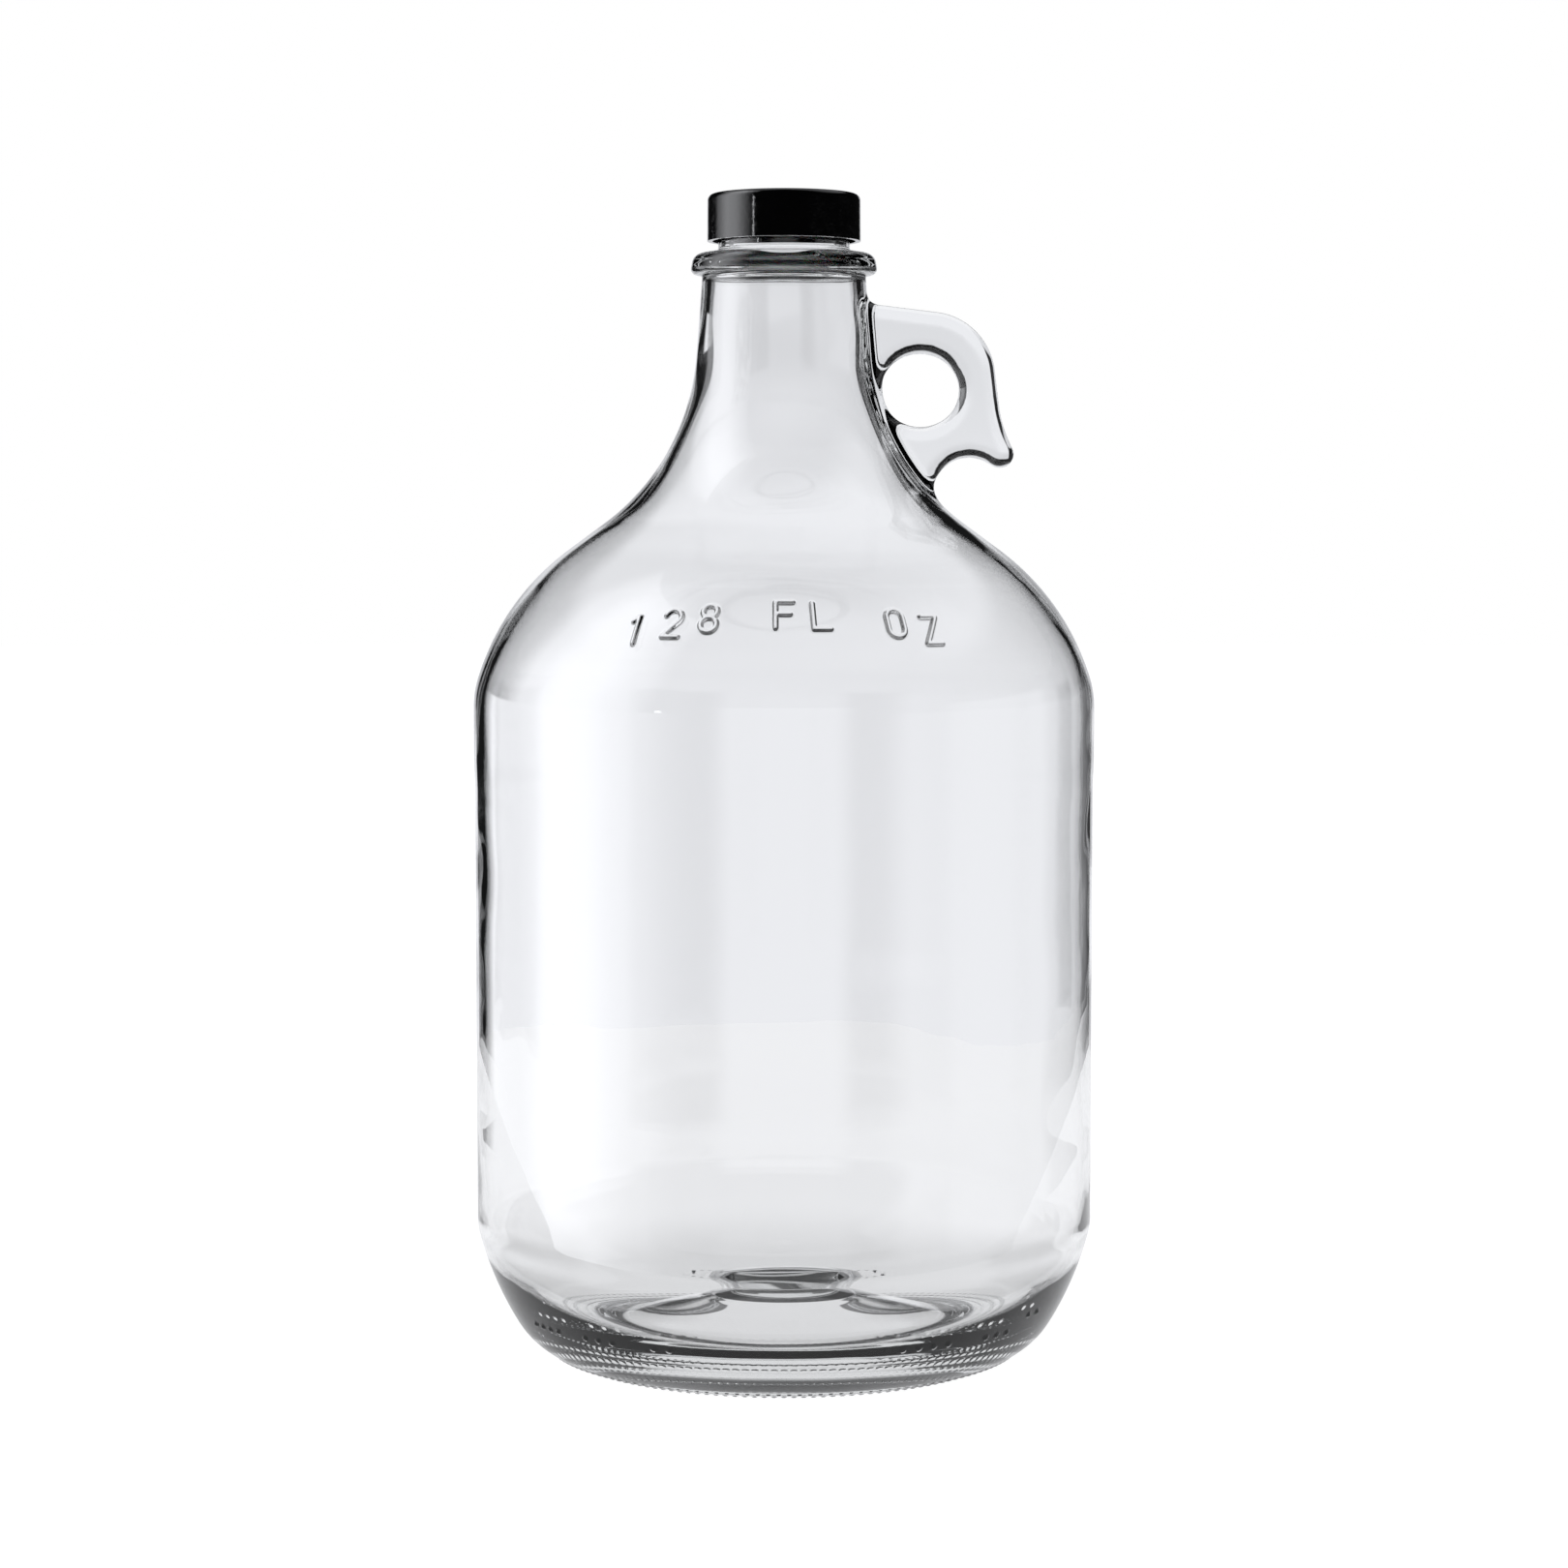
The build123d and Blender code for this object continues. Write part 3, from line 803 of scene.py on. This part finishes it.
def cap_material():
    """Gloss black phenolic: near-black with faint moulding flow and a slight orange peel."""
    material, n = new_material("black_phenolic")
    shader = n.new("ShaderNodeBsdfPrincipled")
    place = n.new("ShaderNodeTexCoord").outputs["Object"]
    colour = n.new("ShaderNodeValToRGB")
    colour.color_ramp.elements[0].color = (0.0003, 0.0003, 0.0004, 1)
    colour.color_ramp.elements[1].color = (0.0012, 0.0012, 0.0014, 1)
    n.join(n.noise(160.0, 4.0, place), colour.inputs["Fac"])
    n.join(colour.outputs["Color"], shader.inputs["Base Color"])
    roughness = n.soft_range(n.noise(420.0, 4.0, place), 0.3, 0.8, 0.05, 0.13)
    n.join(roughness, shader.inputs["Roughness"])
    shader.inputs["IOR"].default_value = 1.58
    bump = n.new("ShaderNodeBump")
    bump.inputs["Strength"].default_value = 0.12
    bump.inputs["Distance"].default_value = 0.0002
    n.join(n.noise(900.0, 2.0, place), bump.inputs["Height"])
    n.join(bump.outputs["Normal"], shader.inputs["Normal"])
    out = n.new("ShaderNodeOutputMaterial")
    n.join(shader.outputs["BSDF"], out.inputs["Surface"])
    return material


def liner_material():
    """Milky polyethylene with a waxy sheen and slight cloudiness."""
    material, n = new_material("milky_liner")
    shader = n.new("ShaderNodeBsdfPrincipled")
    place = n.new("ShaderNodeTexCoord").outputs["Object"]
    colour = n.new("ShaderNodeValToRGB")
    colour.color_ramp.elements[0].color = (0.74, 0.75, 0.73, 1)
    colour.color_ramp.elements[1].color = (0.86, 0.87, 0.85, 1)
    n.join(n.noise(240.0, 3.0, place), colour.inputs["Fac"])
    n.join(colour.outputs["Color"], shader.inputs["Base Color"])
    roughness = n.soft_range(n.noise(600.0, 3.0, place), 0.3, 0.7, 0.38, 0.52)
    n.join(roughness, shader.inputs["Roughness"])
    shader.inputs["Subsurface Weight"].default_value = 0.4
    shader.inputs["Subsurface Scale"].default_value = 0.002
    out = n.new("ShaderNodeOutputMaterial")
    n.join(shader.outputs["BSDF"], out.inputs["Surface"])
    return material


def matt_material(name, brightness, glow, tint=(1, 1, 1, 1), with_painted_shade=False):
    """Plain matt surface; with the last flag set it gets painted shade, dimmer under the jug, and a
    painted contact shadow, dark where the jug stands.
    """
    material, n = new_material(name)
    shader = n.new("ShaderNodeBsdfPrincipled")
    shader.inputs["Base Color"].default_value = (brightness, brightness, brightness, 1)
    shader.inputs["Roughness"].default_value = 0.9
    shader.inputs["Specular IOR Level"].default_value = 0.0
    shader.inputs["Emission Color"].default_value = tint
    shader.inputs["Emission Strength"].default_value = glow
    # painted shade: the glow is dimmed under the jug, and a painted contact shadow darkens glow and
    # colour on a ring where the jug stands
    if with_painted_shade:
        place = n.new("ShaderNodeSeparateXYZ")
        n.join(n.new("ShaderNodeNewGeometry").outputs["Position"], place.inputs["Vector"])
        reach = n.length(place.outputs["X"], place.outputs["Y"])
        painted_shade_under_jug = n.soft_range(reach, *PAINTED_SHADE_REACH, PAINTED_SHADE_DIMMEST * glow, glow)
        from_ring = n.math("ABSOLUTE", n.math("SUBTRACT", reach, CONTACT_SHADOW_RADIUS * MM))
        painted_contact_shadow = n.soft_range(from_ring, *CONTACT_SHADOW_EDGE, CONTACT_SHADOW_LEVEL, 1.0)
        n.join(n.math("MULTIPLY", painted_shade_under_jug, painted_contact_shadow), shader.inputs["Emission Strength"])
        n.join(n.math("MULTIPLY", painted_contact_shadow, brightness), shader.inputs["Base Color"])
    out = n.new("ShaderNodeOutputMaterial")
    n.join(shader.outputs["BSDF"], out.inputs["Surface"])
    return material


glass.data.materials.append(glass_material())
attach(glass, "jug")
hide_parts("glass_jug")

for node, maker in (("screw_cap", cap_material), ("cap_liner", liner_material)):
    piece = bpy.data.objects[node]
    piece.data.materials.clear()
    piece.data.materials.append(maker())


# ---- floor: a white sweep for the camera, and the table top that the glass shows and reflects ----
def floor_disc(name, radius, height, material):
    turns = [2 * pi * k / DISC_CORNERS for k in range(DISC_CORNERS)]
    rim = [(radius * cos(t), radius * sin(t), 0) for t in turns]
    mesh = bpy.data.meshes.new(name)
    mesh.from_pydata(rim, [], [list(range(DISC_CORNERS))])
    disc = bpy.data.objects.new(name, mesh)
    bpy.context.scene.collection.objects.link(disc)
    disc.location.z = height
    disc.data.materials.append(material)
    return disc


sweep = floor_disc("floor", SWEEP_RADIUS, SWEEP_HEIGHT, matt_material("pale_floor", 0.25, 0.97))
sweep.visible_transmission = False
sweep.visible_glossy = False
# the table top gets painted shade under the jug and a painted contact shadow where the jug stands
table_disc = floor_disc("table_top", TABLE_RADIUS, TABLE_HEIGHT,
                        matt_material("pale_table_painted_shade", 0.28, 0.60, COOL_LIGHT, True))
table_disc.location.y = TABLE_BACK
table_disc.visible_camera = False
table_disc.visible_shadow = False

# ---- room: bright backdrop behind the jug, tall windows and a lamp to the left, a dim pale wall
#      to the right, a soft ceiling light in front of the backdrop and darkness elsewhere ----
world = bpy.data.worlds.new("studio")
bpy.context.scene.world = world
world.use_nodes = True
n = Nodes(world.node_tree)
way = n.new("ShaderNodeSeparateXYZ")
n.join(n.new("ShaderNodeTexCoord").outputs["Generated"], way.inputs["Vector"])
azimuth_node = n.math("ARCTAN2", way.outputs["X"], way.outputs["Y"])
turn = n.math("MULTIPLY", azimuth_node, 180 / pi)
flat_length = n.length(way.outputs["X"], way.outputs["Y"])
rise = n.math("MULTIPLY", n.math("ARCTAN2", way.outputs["Z"], flat_length), 180 / pi)


def lobe(left, right, soft, low=-95.0, high=95.0, soft_rise=8.0, soft_right=None):
    """1 inside a window of azimuth and elevation in degrees, 0 outside, with soft edges."""
    soft_right = soft_right or soft
    result = n.math("MULTIPLY", n.soft_range(turn, left - soft, left + soft),
                    n.soft_range(turn, right + soft_right, right - soft_right))
    result = n.math("MULTIPLY", result, n.soft_range(rise, low - soft_rise, low + soft_rise))
    return n.math("MULTIPLY", result, n.soft_range(rise, high + soft_rise, high - soft_rise))


backdrop_level = n.soft_range(rise, -3, 5, BACKDROP_LOW, BACKDROP_HIGH)
backdrop = (backdrop_level, lobe(-19, 19, 1.2, -40, 13, 1.5))
window_below = (1.4, lobe(-130, -40, 14, -25, 4, 0.5, soft_right=5))
window_above = (1.2, lobe(-126, -60, 8, 4, 60, 0.5))
window_middle = (2.0, lobe(-112, -76, 12, -25, 60))
lamp = (9.0, lobe(-134.5, -132.5, 0.8, 4.3, 6.3, 0.4))
dim_wall = (0.22, lobe(24, 140, 5, -90, 3.6, 0.6))
ceiling = (0.7, lobe(-100, 100, 25, 37, 95, 5))
light = DARKNESS
for strength, window in (backdrop, window_below, window_above, window_middle, lamp, dim_wall,
                         ceiling):
    light = n.math("ADD", light, n.math("MULTIPLY", window, strength))

# what the glass shows of the room behind it: never brighter than the backdrop, with a backdrop
# on every side and a pale floor far below eye level, so the jug reads as clear from all round
through = light
for window in (lobe(65, 115, 6, -40, 13, 2), lobe(155, 200, 6, -40, 13, 2),
               lobe(-200, -155, 6, -40, 13, 2)):
    through = n.math("ADD", through, n.math("MULTIPLY", window, BACKDROP_AROUND))
through = n.math("MAXIMUM", through, n.soft_range(rise, -12, -8, FAR_FLOOR, DARKNESS))
through = n.math("MINIMUM", through, BACKDROP_LOW)
paths = n.new("ShaderNodeLightPath")
change = n.math("MULTIPLY", n.math("SUBTRACT", through, light),
                paths.outputs["Is Transmission Ray"])
room = n.new("ShaderNodeBackground")
n.join(n.math("ADD", light, change), room.inputs["Strength"])
seen = n.new("ShaderNodeBackground")
mix = n.new("ShaderNodeMixShader")
n.join(paths.outputs["Is Camera Ray"], mix.inputs["Fac"])
n.join(room.outputs["Background"], mix.inputs[1])
n.join(seen.outputs["Background"], mix.inputs[2])
seen.inputs["Color"].default_value = (1, 1, 1, 1)
seen.inputs["Strength"].default_value = 1.0
room.inputs["Color"].default_value = COOL_LIGHT
out = n.new("ShaderNodeOutputWorld")
n.join(mix.outputs["Shader"], out.inputs["Surface"])

# ---- camera ----
camera_data = bpy.data.cameras.new("camera")
camera_data.lens = CAMERA_LENS
camera_data.sensor_width = CAMERA_SENSOR
camera_data.clip_start = 0.01
camera_data.clip_end = 50.0
camera = bpy.data.objects.new("camera", camera_data)
bpy.context.scene.collection.objects.link(camera)
camera.location = CAMERA_PLACE
camera.rotation_euler = (radians(90 - CAMERA_DIP), 0, 0)
bpy.context.scene.camera = camera
bpy.context.scene.view_settings.view_transform = "Standard"
